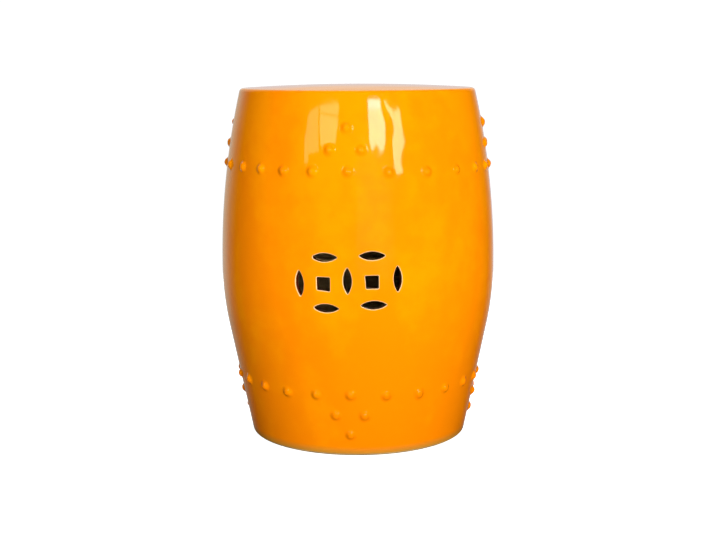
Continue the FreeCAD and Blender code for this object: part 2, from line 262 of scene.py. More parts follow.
def makeClay():
    material, board = newMaterial("bare_clay_fired")
    place = board.add("ShaderNodeTexCoord", output="Object")
    clouds = board.noise(place, clay["cloudScale"], 4.0, 0.6)
    colour = board.tint(board.ease(clouds, *clay["cloudEdges"]), clay["pale"], clay["tan"])
    grit = board.ease(board.noise(place, clay["gritScale"], 2.0, 0.6), *clay["gritEdges"])
    colour = board.tint(grit * clay["gritShare"], colour, clay["grit"])
    height = board.add("ShaderNodeSeparateXYZ", {}, {"Vector": place}, output="Z")
    wander = board.noise(place, clay["wanderScale"], 1.0, 0.5) * clay["wander"]
    ridges = ((height + wander) * (math.tau / clay["ridgePitch"])).use("SINE")
    grain = board.noise(place, clay["grainScale"], 3.0, 0.6)
    bump = board.add("ShaderNodeBump", {}, {"Height": ridges * 0.5 + 0.5, "Distance": clay["ridgeHeight"]})
    bump = board.add("ShaderNodeBump", {}, {"Height": grain, "Distance": clay["grainHeight"], "Normal": bump})
    rough = board.ease(grain, 0.2, 0.8) * clay["roughStray"] + clay["roughness"]
    shader = board.add("ShaderNodeBsdfPrincipled", {}, {
        "Base Color": colour, "Roughness": rough, "Normal": bump, "Specular IOR Level": clay["specular"]})
    board.add("ShaderNodeOutputMaterial", {}, {"Surface": shader})
    return material


glazeFinish = makeGlaze()
clayFinish = makeClay()
print("finishes mixed")


weld = 1e-6                                  # points closer than this are one point


class Skin:                                  # gathers the points and faces of one piece
    def __init__(self):
        self.points, self.faces, self.finishes = [], [], []
        self.marks = {"thin": {}, "burnt": {}}

    def point(self, angle, radius, z, **marks):
        self.points.append((radius * math.sin(angle), -radius * math.cos(angle), z))
        for name, value in marks.items():
            self.marks[name][len(self.points) - 1] = value
        return len(self.points) - 1

    def face(self, corners, finish=0):
        self.faces.append(corners)
        self.finishes.append(finish)

    def band(self, first, second, finish=0):
        # quads between two rings that have as many points
        for i in range(len(first)):
            j = (i + 1) % len(first)
            self.face((first[i], first[j], second[j], second[i]), finish)

    def build(self, name):
        mesh = bpy.data.meshes.new(name)
        mesh.from_pydata(self.points, [], self.faces)
        mesh.polygons.foreach_set("material_index", self.finishes)
        for mark, values in self.marks.items():
            layer = mesh.attributes.new(mark, "FLOAT", "POINT")
            layer.data.foreach_set("value", [values.get(i, 0.0) for i in range(len(self.points))])
        return finishPiece(name, mesh)


def finishPiece(name, mesh, crisp=math.radians(40)):
    # closes the seams, turns every face outwards and keeps the real corners crisp
    work = bmesh.new()
    work.from_mesh(mesh)
    bmesh.ops.remove_doubles(work, verts=work.verts, dist=weld)
    bmesh.ops.recalc_face_normals(work, faces=work.faces)
    for side in work.faces:
        side.smooth = True
    for edge in work.edges:
        edge.smooth = len(edge.link_faces) == 2 and edge.calc_face_angle(0.0) < crisp
    openEdges = sum(1 for edge in work.edges if len(edge.link_faces) != 2)
    work.to_mesh(mesh)
    triangles = sum(len(side.verts) - 2 for side in work.faces)
    volume = work.calc_volume(signed=True)
    work.free()
    for material in (glazeFinish, clayFinish):
        if material.name not in mesh.materials:
            mesh.materials.append(material)
    piece = bpy.data.objects.new(name, mesh)
    bpy.context.scene.collection.objects.link(piece)
    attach(piece, "root")
    print(f"{name}: {triangles} triangles, {openEdges} open edges, {volume * 1e6:.1f} cm3")
    return piece


# the pierced double coin

doubleCoin = {
    "above": 0.003,                          # its middle, over the widest height
    "tilt": math.radians(2.8),
    "pitch": 0.060,
    "lensLength": 0.0322,
    "lensWidth": 0.0103,
    "tipRound": 0.0009,
    "squareSide": 0.0161,
    "cornerRound": 0.0012,
    "edgeRound": 0.0014,                     # outer edge, softened by the glaze
    "backRound": 0.0010,                     # inner edge, sponged
    "edgeThin": (1, 1, 1, 1, 1, 0.55, 0.1),  # how thin the glaze is, ring by ring, over the outer edge
    # how much painted shade each of those rings takes, growing towards the cut wall
    "edgeShade": (0, 0, 0, 0, 0, 0.45, 0.9),
    "wallRows": 4,
    "backRows": 3,
    "step": 0.0012,                          # spacing of points along a cut
    "patchHalfAngle": 26,                    # degrees of wall that the fine patch takes, each way
    "patchLow": 0.183,
    "patchHigh": 0.270,
    "filler": 0.0024,                        # spacing of points between the cuts
    "borderGap": 0.6,                        # their least distance from the patch's border, in spacings
    "pointGap": 0.7,                         # and from any point on an outline
}

# place in half pitches, rest turn in degrees, then the knife's strays: across and up in mm, turn in degrees
lensMarks = {
    "left": ((-2, 0), 90, (-0.6, 0.0, 1.3)),
    "middle": ((0, 0), 90, (-0.8, 1.7, -1.7)),
    "right": ((2, 0), 90, (0.4, 0.2, -1.7)),
    "upperLeft": ((-1, 1), 0, (2.3, 1.1, -2.2)),
    "upperRight": ((1, 1), 0, (0.7, 0.4, -2.8)),
    "lowerLeft": ((-1, -1), 0, (1.2, -0.7, -4.0)),
    "lowerRight": ((1, -1), 0, (-0.3, 0.5, -1.9)),
}
squareMarks = {
    "left": ((-1, 0), 0, (-0.3, -1.1, -2.1)),
    "right": ((1, 0), 0, (-1.3, -1.3, -2.9)),
}
# how far each corner of a square was cut off its place, in mm, anticlockwise from the lower left one
squareCorners = {
    "left": ((0.2, 1.0), (0.0, -0.9), (0.0, 0.0), (0.0, 0.3)),
    "right": ((1.2, 0.2), (0.1, 0.2), (0.1, -0.1), (-0.2, -0.4)),
}
bluntTips = {"upperLeft": 0.0022, "lowerLeft": 0.0018}    # left tips that the knife left round


def arcPoints(centre, radius, start, end, step):
    # points and outward directions along an arc, without its last point
    count = max(3, round(abs(end - start) * radius / step))
    turns = spread(start, end, count)[:-1]
    return [((centre[0] + radius * math.cos(t), centre[1] + radius * math.sin(t)),
             (math.cos(t), math.sin(t))) for t in turns]


def lensOutline(leftRound, rightRound):
    length, width, step = doubleCoin["lensLength"], doubleCoin["lensWidth"], doubleCoin["step"]
    sweep = (length ** 2 + width ** 2) / (4 * width)
    shift = sweep - width / 2
    ends = {}
    for side, tip in (("left", leftRound), ("right", rightRound)):
        opening = math.acos(shift / (sweep - tip))
        ends[side] = (opening, (sweep - tip) * math.sin(opening), tip)
    right, rightPlace, rightTip = ends["right"]
    left, leftPlace, leftTip = ends["left"]
    quarter = math.pi / 2
    return (arcPoints((0, -shift), sweep, quarter - right, quarter + left, step)
            + arcPoints((-leftPlace, 0), leftTip, quarter + left, 3 * quarter - left, step / 3)
            + arcPoints((0, shift), sweep, 3 * quarter - left, 3 * quarter + right, step)
            + arcPoints((rightPlace, 0), rightTip, 3 * quarter + right, 5 * quarter - right, step / 3))


def squareOutline(strays):
    half, bend, step = doubleCoin["squareSide"] / 2, doubleCoin["cornerRound"], doubleCoin["step"]
    corners = [Vector((sx * half + dx / 1000, sy * half + dy / 1000)) for (sx, sy), (dx, dy)
               in zip(((-1, -1), (1, -1), (1, 1), (-1, 1)), strays)]
    normals = []
    for i, corner in enumerate(corners):
        along = (corners[(i + 1) % 4] - corner).normalized()
        normals.append(Vector((along.y, -along.x)))
    centres = []
    for i, corner in enumerate(corners):
        before, after = normals[i - 1], normals[i]
        centres.append(corner - (before + after) * bend / (1 + before.dot(after)))
    points = []
    for i, centre in enumerate(centres):
        start = math.atan2(normals[i - 1].y, normals[i - 1].x)
        turn = (math.atan2(normals[i].y, normals[i].x) - start) % math.tau
        points += arcPoints(centre, bend, start, start + turn, step / 3)
        first = centre + normals[i] * bend
        last = centres[(i + 1) % 4] + normals[i] * bend
        count = round((last - first).length / step)
        points += [(tuple(first.lerp(last, k / count)), tuple(normals[i])) for k in range(count)]
    return points


def makeCuts():
    # every cut as (side angle of its middle, height, points and outward directions along the wall)
    cuts = []
    shapes = [(mark, lensOutline(bluntTips.get(name, doubleCoin["tipRound"]), doubleCoin["tipRound"]))
              for name, mark in lensMarks.items()]
    shapes += [(mark, squareOutline(squareCorners[name])) for name, mark in squareMarks.items()]
    tilt, half = doubleCoin["tilt"], doubleCoin["pitch"] / 2
    for ((stepsAcross, stepsUp), rest, (strayAcross, strayUp, strayTurn)), outline in shapes:
        across = half * (stepsAcross * math.cos(tilt) - stepsUp * math.sin(tilt)) + strayAcross / 1000
        up = half * (stepsAcross * math.sin(tilt) + stepsUp * math.cos(tilt)) + strayUp / 1000
        turn = tilt + math.radians(rest + strayTurn)
        c, s = math.cos(turn), math.sin(turn)
        turnedOutline = [((x * c - y * s, x * s + y * c), (nx * c - ny * s, nx * s + ny * c))
                         for (x, y), (nx, ny) in outline]
        height = turned["bellyHeight"] + doubleCoin["above"] + up
        cuts.append((across / turned["bellyRadius"], height, turnedOutline))
    return cuts


cuts = makeCuts()


def cutLoop(skin, side, cut, offset, depth, fromBack=False, **marks):
    # one ring of points round a cut, grown by offset along the wall and sunk by depth into it
    middle, height, outline = cut
    ring = []
    for (x, y), (nx, ny) in outline:
        across, z = x + nx * offset, height + y + ny * offset
        radius = innerRadius(z) if fromBack else wallRadius(z)
        out = math.sqrt(radius ** 2 - across ** 2) + (depth if fromBack else -depth)
        ring.append(skin.point(side + middle + math.atan2(across, out), math.hypot(across, out), z, **marks))
    return ring


def cutWalls(skin, side, cut):
    # the softened outer edge, the cut wall and the sponged inner edge; returns the outermost rings
    edge, back, backRows = doubleCoin["edgeRound"], doubleCoin["backRound"], doubleCoin["backRows"]
    rings = []
    turns = spread(0.0, math.pi / 2, len(doubleCoin["edgeThin"]) - 1)
    for a, thin, burnt in zip(turns, doubleCoin["edgeThin"], doubleCoin["edgeShade"]):
        rings.append(cutLoop(skin, side, cut, edge * (1 - math.sin(a)), edge * (1 - math.cos(a)),
                             thin=math.sin(a) * thin, burnt=burnt))
    for depth in spread(edge, turned["wallThickness"] - back, doubleCoin["wallRows"])[1:-1]:
        rings.append(cutLoop(skin, side, cut, 0.0, depth, burnt=1.0))
    for i, a in enumerate(spread(math.pi / 2, 0.0, backRows)):
        rings.append(cutLoop(skin, side, cut, back * (1 - math.sin(a)), back * (1 - math.cos(a)),
                             fromBack=True, burnt=1.0 - i / backRows))
    for i in range(len(rings) - 1):
        bare = i >= len(rings) - 1 - backRows
        skin.band(rings[i], rings[i + 1], finish=1 if bare else 0)
    return rings[0], rings[-1]


def patch(skin, border, loops, radiusAt, side, finish):
    # triangles between a rectangle of the wall and the cuts in it; places are arc length and height
    scale, step = turned["bellyRadius"], doubleCoin["filler"]

    def flat(index):
        x, y, z = skin.points[index]
        turn = (math.atan2(x, -y) - side + math.pi) % math.tau - math.pi
        return turn * scale, z

    indices, places, edges, outlines, cutOf = [], [], [], [], {}
    for number, ring in enumerate([border] + loops):         # number 0 is the border
        start, outline = len(indices), [flat(index) for index in ring]
        indices += ring
        places += outline
        edges += [(start + i, start + (i + 1) % len(ring)) for i in range(len(ring))]
        cutOf.update({start + i: number for i in range(len(ring))})
        outlines.append(outline)
    fixed = list(places)
    left, right = min(x for x, z in outlines[0]), max(x for x, z in outlines[0])
    low, high = min(z for x, z in outlines[0]), max(z for x, z in outlines[0])
    borderGap, pointGap = step * doubleCoin["borderGap"], step * doubleCoin["pointGap"]
    rows = max(1, round((high - low) / (step * math.cos(math.pi / 6))))
    columns = max(1, round((right - left) / step))
    for i in range(1, rows):
        for j in range(columns):
            spot = (left + (j + 0.5 + 0.5 * (i % 2)) * step, low + (high - low) * i / rows)
            if not left + borderGap < spot[0] < right - borderGap:
                continue
            if min(math.dist(spot, p) for p in fixed) < pointGap:
                continue
            if any(insideOutline(spot, outline) for outline in outlines[1:]):
                continue
            indices.append(skin.point(side + spot[0] / scale, radiusAt(spot[1]), spot[1]))
            places.append(spot)
    made = geometry.delaunay_2d_cdt([Vector(p) for p in places], edges, [], 0, 1e-7)
    triangles, origins = made[2], made[3]
    for corners in triangles:
        ids = [origins[c][0] for c in corners]
        touched = {cutOf.get(i, 0) for i in ids}
        if len(touched) == 1 and 0 not in touched:           # it lies inside a cut
            continue
        skin.face([indices[i] for i in ids], finish)


def insideOutline(spot, outline):
    inside = False
    for (x0, y0), (x1, y1) in zip(outline, outline[1:] + outline[:1]):
        if (y0 > spot[1]) != (y1 > spot[1]) and spot[0] < (x1 - x0) * (spot[1] - y0) / (y1 - y0) + x0:
            inside = not inside
    return inside


def makeWall(name, node, low, high, outerRows, innerRows, patchLow, patchHigh):
    skin = Skin()
    columns = turned["columns"]
    half = doubleCoin["patchHalfAngle"]
    sides = (0, columns // 2)
    ends = []
    inPiece = [cut for cut in cuts if low < cut[1] < high]
    cutRings = {side: [cutWalls(skin, math.tau * side / columns, cut) for cut in inPiece] for side in sides}
    layers = ((outerRows, wallRadius, 0), (innerRows, innerRadius, 1))
    for layer, (rows, radiusAt, finish) in enumerate(layers):
        grid = []
        for z in rows:
            hidden = {(side + c) % columns for side in sides for c in range(1 - half, half)
                      if patchLow < z < patchHigh}
            grid.append([None if c in hidden else skin.point(math.tau * c / columns, radiusAt(z), z)
                         for c in range(columns)])
        lowRow = min(range(len(rows)), key=lambda i: abs(rows[i] - patchLow))
        highRow = min(range(len(rows)), key=lambda i: abs(rows[i] - patchHigh))
        taken = {(side + c) % columns for side in sides for c in range(-half, half)}
        for i in range(len(rows) - 1):
            for c in range(columns):
                if lowRow <= i < highRow and c in taken:
                    continue
                d = (c + 1) % columns
                skin.face((grid[i][c], grid[i][d], grid[i + 1][d], grid[i + 1][c]), finish)
        for side in sides:
            across = [(side + c) % columns for c in range(-half, half + 1)]
            border = [grid[lowRow][c] for c in across]
            border += [grid[i][across[-1]] for i in range(lowRow + 1, highRow)]
            border += [grid[highRow][c] for c in reversed(across)]
            border += [grid[i][across[0]] for i in range(highRow - 1, lowRow, -1)]
            loops = [rings[layer] for rings in cutRings[side]]
            patch(skin, border, loops, radiusAt, math.tau * side / columns, finish)
        ends.append((grid[0], grid[-1]))
    skin.band(ends[0][0], ends[1][0], finish=1)
    skin.band(ends[0][1], ends[1][1], finish=1)
    piece = skin.build(name)
    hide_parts(node)


def rowsBetween(*stops):
    # heights from stop to stop, each pair of stops with its own spacing
    heights = [stops[0]]
    for spacing, stop in zip(stops[1::2], stops[2::2]):
        count = max(1, round((stop - heights[-1]) / spacing))
        heights += spread(heights[-1], stop, count)[1:]
    return heights


patchLow, patchHigh = doubleCoin["patchLow"], doubleCoin["patchHigh"]
outer, inner, innerPatch = turned["outerSpacing"], turned["innerSpacing"], turned["innerPatchSpacing"]
makeWall(
    "lowerBarrelWall", "lower_barrel_wall", footTop, seamHeight,
    rowsBetween(footTop, outer, patchLow, outer, seamHeight),
    rowsBetween(footTop, inner, patchLow, innerPatch, seamHeight), patchLow, seamHeight)
makeWall(
    "upperBarrelWall", "upper_barrel_wall", seamHeight, seatUnderside,
    rowsBetween(seamHeight, outer, patchHigh, outer, seatUnderside),
    rowsBetween(seamHeight, innerPatch, patchHigh, inner, seatUnderside), seamHeight, patchHigh)
print("walls pierced")


seat = {
    "undersideRings": (0.05, 0.10, 0.14),
    "sideSpacing": 0.0008,
    "rimRows": 12,
    "crownSpacing": 0.004,
    "thin": 0.45,                            # how thin the glaze stands on the rim
    "thinDepth": 0.0015,                     # how far down the wall that reaches
    "thinWidth": 0.012,                      # and how far in over the seat
}


def makeLathed(name, node, outline, finishes):
    # a piece turned from an outline of (radius, height, thin) points, closed from its last point to its first
    skin = Skin()
    columns = turned["columns"]
    rings = []
    for radius, z, thin in outline:
        if radius < weld:
            rings.append([skin.point(0.0, 0.0, z, thin=thin)])
        else:
            rings.append([skin.point(math.tau * c / columns, radius, z, thin=thin) for c in range(columns)])
    for i, ring in enumerate(rings):
        following = rings[(i + 1) % len(rings)]
        if len(ring) == 1 and len(following) == 1:
            continue
        for c in range(columns):
            d = (c + 1) % columns
            if len(ring) == 1:
                skin.face((ring[0], following[d], following[c]), finishes[i])
            elif len(following) == 1:
                skin.face((ring[c], ring[d], following[0]), finishes[i])
            else:
                skin.face((ring[c], ring[d], following[d], following[c]), finishes[i])
    piece = skin.build(name)
    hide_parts(node)


def makeSeat():
    top, crown, rim = turned["height"], turned["seatCrown"], turned["rimRound"]
    rimHeight = top - crown - rim
    rimCentre = wallRadius(rimHeight, rim)
    edge = rimCentre * (1 + 2 * rim * crown / rimCentre ** 2)
    sweep = (edge ** 2 + crown ** 2) / (2 * crown)
    lean = math.asin((rimHeight - turned["bellyHeight"]) / turned["shoulderSweep"])
    slope = math.asin(rimCentre / sweep)
    outline = [(0.0, seatUnderside, 0.0)]
    outline += [(r, seatUnderside, 0.0) for r in seat["undersideRings"]]
    bareRows = len(outline)
    side = rowsBetween(seatUnderside, seat["sideSpacing"], rimHeight)
    rimRows = [(wallRadius(z), z) for z in side[:-1]]
    for a in spread(lean, math.pi / 2 - slope, seat["rimRows"]):
        rimRows.append((rimCentre + rim * math.cos(a), rimHeight + rim * math.sin(a)))
    for radius, z in rimRows:
        outline.append((radius, z, seat["thin"] * max(0.0, 1 - (top - crown - z) / seat["thinDepth"])))
    crownRows = round(rimCentre / seat["crownSpacing"])
    for r in spread(rimCentre, 0.0, crownRows)[1:]:
        thin = seat["thin"] * max(0.0, 1 - (rimCentre - r) / seat["thinWidth"])
        outline.append((r, top - sweep + math.sqrt(sweep ** 2 - r ** 2), thin))
    finishes = [1] * bareRows + [0] * (len(outline) - bareRows)
    makeLathed("seatSlab", "seat_slab", outline, finishes)


makeSeat()

foot = {
    "lip": 0.020,                            # width of the slab inside the wall's foot
    "bareHeight": 0.0028,                    # the glaze was sponged off below this height
    "lipRound": 0.0025,
    "bareRows": 9,
    "roundRows": 3,                          # of the rounded edge over the bare ones
    "sideSpacing": 0.0015,
    "slabRings": 4,
    "lipRows": 5,
}


def makeFoot():
    # the flat ring: its rounded outer edge, the slab's top, the edge of the hole and the resting face
    hole, bend = innerRadius(footTop) - foot["lip"], foot["lipRound"]
    bare, edge = foot["bareHeight"], turned["footRound"]
    bareTurn = math.acos(1 - bare / edge)
    turns = spread(0.0, bareTurn, foot["bareRows"])
    turns += spread(bareTurn, math.pi / 2 - turned["flankLean"], foot["roundRows"])[1:]
    side = [edge * (1 - math.cos(a)) for a in turns]
    side += rowsBetween(side[-1], foot["sideSpacing"], footTop)[1:]
    outline = [(wallRadius(z), z, 0.0) for z in side]
    finishes = [1] * foot["bareRows"] + [0] * (len(side) - 1 - foot["bareRows"])
    outline += [(r, footTop, 0.0) for r in spread(innerRadius(footTop), hole + bend, foot["slabRings"])]
    for middle, start in ((footTop - bend, math.pi / 2), (bend, math.pi)):
        turns = spread(start, start + math.pi / 2, foot["lipRows"])
        outline += [(hole + bend + bend * math.cos(a), middle + bend * math.sin(a), 0.0) for a in turns]
    finishes += [1] * (len(outline) - len(finishes))
    makeLathed("footRing", "foot_ring", outline, finishes)


makeFoot()
print("seat and foot turned")


nail = {
    "width": 0.0118,                         # of the pressed ball, without its skirt
    "height": 0.004,
    "skirtRound": 0.0065,                    # hollow curve of glaze round the foot of a nail
    "sink": 0.00003,                         # how far the skirt's edge dips into the wall
    "keyDepth": 0.0008,                      # how deep a nail is keyed into the wall
    "rows": 20,
    "spokes": 40,
    "sizeStray": 0.05,
    "formStray": 0.16,
    "formScale": 150.0,
    "ringSeed": 11,
    "trioSeed": 20,
    "stretchSeed": 7,                        # added to the seed where a nail's stretch is drawn
    "capEnd": 0.55,                          # where the cap ends along the outline, from 0 to 1
    "skirtEnd": 0.90,                        # and the skirt
    "keyWidth": 0.98,                        # of the key at the skirt's edge, as a share
    "poolShadeTurn": 0.35,                        # from straight below to where most glaze gathers and the painted shade is darkest
    "poolShadeEdges": (-0.1, 0.8),
    "poolShadeShare": 0.9,
    "poolShadeRise": 0.10,                        # the pool and painted shade start and end at these shares of the height
    "poolShadeFall": (0.85, 0.35),
}


def nailSeats(node):
    # angle and height of the middle of each nail in a node, from the node's own solids
    work = bmesh.new()
    work.from_mesh(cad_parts[node].data)
    bmesh.ops.remove_doubles(work, verts=work.verts, dist=weld)
    left, seats = set(work.verts), []
    while left:
        group, queue = [], [left.pop()]
        while queue:
            point = queue.pop()
            group.append(point.co.copy())
            for edge in point.link_edges:
                other = edge.other_vert(point)
                if other in left:
                    left.remove(other)
                    queue.append(other)
        middle = sum(group, Vector()) / len(group)
        around = math.atan2(middle.x, -middle.y)
        turns = [(math.atan2(p.x, -p.y) - around + math.pi) % math.tau - math.pi for p in group]
        heights = [p.z for p in group]
        seats.append((around + (min(turns) + max(turns)) / 2, (min(heights) + max(heights)) / 2))
    work.free()
    return sorted(seats)


def nailTree(upper):
    # Sets one nail on every seat of an unrolled wall, then rolls the wall up with the nails on it.
    tree = bpy.data.node_groups.new("nailsOnWall", "GeometryNodeTree")
    board = Board(tree)
    face = tree.interface
    face.new_socket("Seats", in_out="INPUT", socket_type="NodeSocketGeometry")
    for name in ("Width", "Height", "Skirt Round", "Key Depth", "Size Stray", "Form Stray", "Form Scale",
                 "Wall Radius"):
        face.new_socket(name, in_out="INPUT", socket_type="NodeSocketFloat")
    for name in ("Rows", "Spokes", "Seed"):
        face.new_socket(name, in_out="INPUT", socket_type="NodeSocketInt")
    face.new_socket("Finish", in_out="INPUT", socket_type="NodeSocketMaterial")
    face.new_socket("Nails", in_out="OUTPUT", socket_type="NodeSocketGeometry")
    given = board.add("NodeGroupInput", output="Seats")

    def split(vector):
        parts = board.add("ShaderNodeSeparateXYZ", {}, {"Vector": vector}, output="X")
        return parts, parts.output("Y"), parts.output("Z")

    def join(x, y, z):
        return board.add("ShaderNodeCombineXYZ", {}, {"X": x, "Y": y, "Z": z})

    def choose(test, whenTrue, whenFalse):
        return whenTrue * test + whenFalse * (1 - test)

    # the nail's outline: a ball's cap, a hollow skirt tangent to it, and a key under the wall
    halfWidth, tall, skirt = given.output("Width") / 2, given.output("Height"), given.output("Skirt Round")
    ball = (halfWidth * halfWidth + tall * tall) / (tall * 2)
    lift = ball - tall
    reach = ((ball + skirt) * (ball + skirt) - (lift + skirt) * (lift + skirt)).use("SQRT")
    capAngle = (reach / (ball + skirt)).use("ARCSINE")
    capEnd, skirtEnd = nail["capEnd"], nail["skirtEnd"]
    u, v = (part + 0.5 for part in split(board.add("GeometryNodeInputPosition"))[:2])
    a = capAngle * u / capEnd
    b = capAngle * (skirtEnd - u) / (skirtEnd - capEnd)
    onCap = u.use("LESS_THAN", capEnd + 1e-4)
    onSkirt = u.use("LESS_THAN", skirtEnd + 1e-4)
    out = choose(onCap, ball * a.use("SINE"), reach - skirt * b.use("SINE"))
    up = choose(onCap, ball * a.use("COSINE") - lift, skirt * (1 - b.use("COSINE")) - nail["sink"])
    out = choose(onSkirt, out, reach * (1 - u) / (1 - skirtEnd) * nail["keyWidth"])
    up = choose(onSkirt, up, 0 - given.output("Key Depth"))
    around = v * math.tau
    grid = board.add("GeometryNodeMeshGrid", {}, {
        "Size X": 1.0, "Size Y": 1.0,
        "Vertices X": given.output("Rows"), "Vertices Y": given.output("Spokes")})
    one = board.add("GeometryNodeSetPosition", {}, {
        "Geometry": grid, "Position": join(out * around.use("COSINE"), out * around.use("SINE"), up)})
    one = board.add("GeometryNodeMergeByDistance", {}, {"Geometry": one, "Distance": 1e-7})
    # glaze gathers round the nail's foot, most of it beneath, and painted shade darkens the nail's lower
    # side, fading out towards its crown
    beneath = board.ease(0 - (around - nail["poolShadeTurn"]).use("SINE"), *nail["poolShadeEdges"])
    beneath = beneath * nail["poolShadeShare"] + (1 - nail["poolShadeShare"])
    poolShadeTop, poolShadeFull = (tall * share for share in nail["poolShadeFall"])
    nailPoolShade = board.ease(up, 0.0, tall * nail["poolShadeRise"]) * board.ease(up, poolShadeTop, poolShadeFull) * beneath
    one = board.add("GeometryNodeStoreNamedAttribute", {"data_type": "FLOAT", "domain": "POINT"}, {
        "Geometry": one, "Name": "darkPoolAndShade", "Value": nailPoolShade})

    # one on each seat, each a little larger or smaller
    stray = given.output("Size Stray")
    scale = board.add("FunctionNodeRandomValue", {"data_type": "FLOAT"}, {
        2: 1 - stray, 3: 1 + stray, "Seed": given.output("Seed")}, output=1)
    stretch = board.add("FunctionNodeRandomValue", {"data_type": "FLOAT"}, {
        2: 1 - stray, 3: 1 + stray, "Seed": given.output("Seed") + nail["stretchSeed"]}, output=1)
    nails = board.add("GeometryNodeInstanceOnPoints", {}, {
        "Points": given, "Instance": one, "Scale": join(scale, scale * stretch, stretch)})
    nails = board.add("GeometryNodeRealizeInstances", {}, {"Geometry": nails})

    # uneven hand-pressed heads, then round the barrel
    x, z, h = split(board.add("GeometryNodeInputPosition"))
    lumps = board.add("ShaderNodeTexNoise", {}, {
        "Vector": join(x, z, 0.0), "Scale": given.output("Form Scale"), "Detail": 1.0})
    h = h * (1 + (lumps - 0.5) * 2 * given.output("Form Stray") * h.use("GREATER_THAN", 0.0))
    if upper:
        sweep = turned["shoulderSweep"]
        rise = z - turned["bellyHeight"]
        radius = turned["bellyRadius"] - sweep + (sweep * sweep - rise * rise).use("SQRT")
        outward, upward = (radius - (turned["bellyRadius"] - sweep)) / sweep, rise / sweep
    else:
        lean, flank = turned["flankLean"], footTop * 4       # any height on the straight flank
        radius = wallRadius(flank) + (z - flank) * math.tan(lean)
        outward, upward = math.cos(lean), -math.sin(lean)
    angle = x / given.output("Wall Radius")
    radius = radius + h * outward
    rolled = join(radius * angle.use("SINE"), 0 - radius * angle.use("COSINE"), z + h * upward)
    nails = board.add("GeometryNodeSetPosition", {}, {"Geometry": nails, "Position": rolled})
    nails = board.add("GeometryNodeSetMaterial", {}, {"Geometry": nails, "Material": given.output("Finish")})
    board.add("NodeGroupOutput", {}, {"Nails": nails})
    return tree


def makeNails(name, node, tree, seed):
    seats = nailSeats(node)
    wall = wallRadius(sum(height for turn, height in seats) / len(seats))
    mesh = bpy.data.meshes.new(name + "Seats")
    mesh.from_pydata([(turn * wall, height, 0.0) for turn, height in seats], [], [])
    holder = bpy.data.objects.new(name + "Seats", mesh)
    bpy.context.scene.collection.objects.link(holder)
    layout = holder.modifiers.new("nails", "NODES")
    layout.node_group = tree
    values = {"Width": nail["width"], "Height": nail["height"], "Skirt Round": nail["skirtRound"],
              "Key Depth": nail["keyDepth"], "Size Stray": nail["sizeStray"], "Form Stray": nail["formStray"],
              "Form Scale": nail["formScale"], "Wall Radius": wall, "Rows": nail["rows"] + 1,
              "Spokes": nail["spokes"] + 1, "Seed": seed, "Finish": glazeFinish}
    for socket in tree.interface.items_tree:
        if socket.item_type == "SOCKET" and socket.name in values:
            layout[socket.identifier] = values[socket.name]
    bpy.context.view_layer.update()
    shaped = holder.evaluated_get(bpy.context.evaluated_depsgraph_get())
    baked = bpy.data.meshes.new_from_object(shaped)
    holder.modifiers.remove(layout)
    bpy.data.objects.remove(holder)
    piece = finishPiece(name, baked)
    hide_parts(node)


for ring, upper in (("upper", True), ("lower", False)):
    tree = nailTree(upper)
    makeNails(f"{ring}NailRing", f"{ring}_nail_ring", tree, nail["ringSeed"] + upper)
    for number, side in enumerate(("front", "right", "back", "left")):
        seed = nail["trioSeed"] + number * 2 + upper
        makeNails(f"{side}{ring.title()}NailTrio", f"{side}_{ring}_nail_trio", tree, seed)
print("nails set")


for node in ("foot_joint_coil", "belly_joint_coil", "seat_joint_coil"):
    # the rolls of clay inside the joints keep their solids
    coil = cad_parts[node]
    coil.data.materials.clear()
    coil.data.materials.append(clayFinish)


studio = {
    "cameraDistance": 1.7015,                # from the stool's axis, along the floor
    "cameraHeight": 0.48975,
    "cameraTurn": math.radians(3.83),        # round from the front
    "cameraPitch": math.radians(9.269),      # downwards
    "cameraRoll": math.radians(-0.233),
    "lens": 65.20,                           # mm, on a sensor 36 mm wide
    "floorRadius": 1.3,
    "floorGlow": 0.95,                       # keeps the floor white up to the paper behind
    "paper": 1.06,                           # how white the surroundings look
    "roomLight": 0.33,                       # soft light from all round
    "floorLight": 0.30,                      # how much of it the floor sends back up
    "darkRoom": 0.006,                       # what the glaze mirrors of the unlit room
    "sheetMiddle": (0.72, 0.69, 0.69, 1),    # what it mirrors of the pale paper sheet behind the stool
    "sheetHigh": (0.98, 0.74, 0.50, 1),      # of its warm upper part
    "sheetSide": (0.67, 0.66, 0.53, 1),      # and of its warmer sides
    "sheetTop": (math.radians(2.5), math.radians(8)),
    "sheetMiddleEdges": (math.radians(12), math.radians(22)),
    "sheetEdges": (math.radians(-38), math.radians(-8), math.radians(32), math.radians(62)),
    "sheetFoot": (math.radians(-25), math.radians(-8)),        # where the sheet fades towards the floor
    "keyTurn": math.radians(17.5),
    "keyRise": math.radians(5),
    "lightDistance": 3.0,
    "keyPower": 86,
    "broadSize": (1.6, 1.6),                 # of the key and the top light
    "fillSize": (0.8, 0.4),                  # of a low light behind, under the height of the seat
    "fillPower": 60,
    "topRise": math.radians(80),
    "topPower": 24,
}

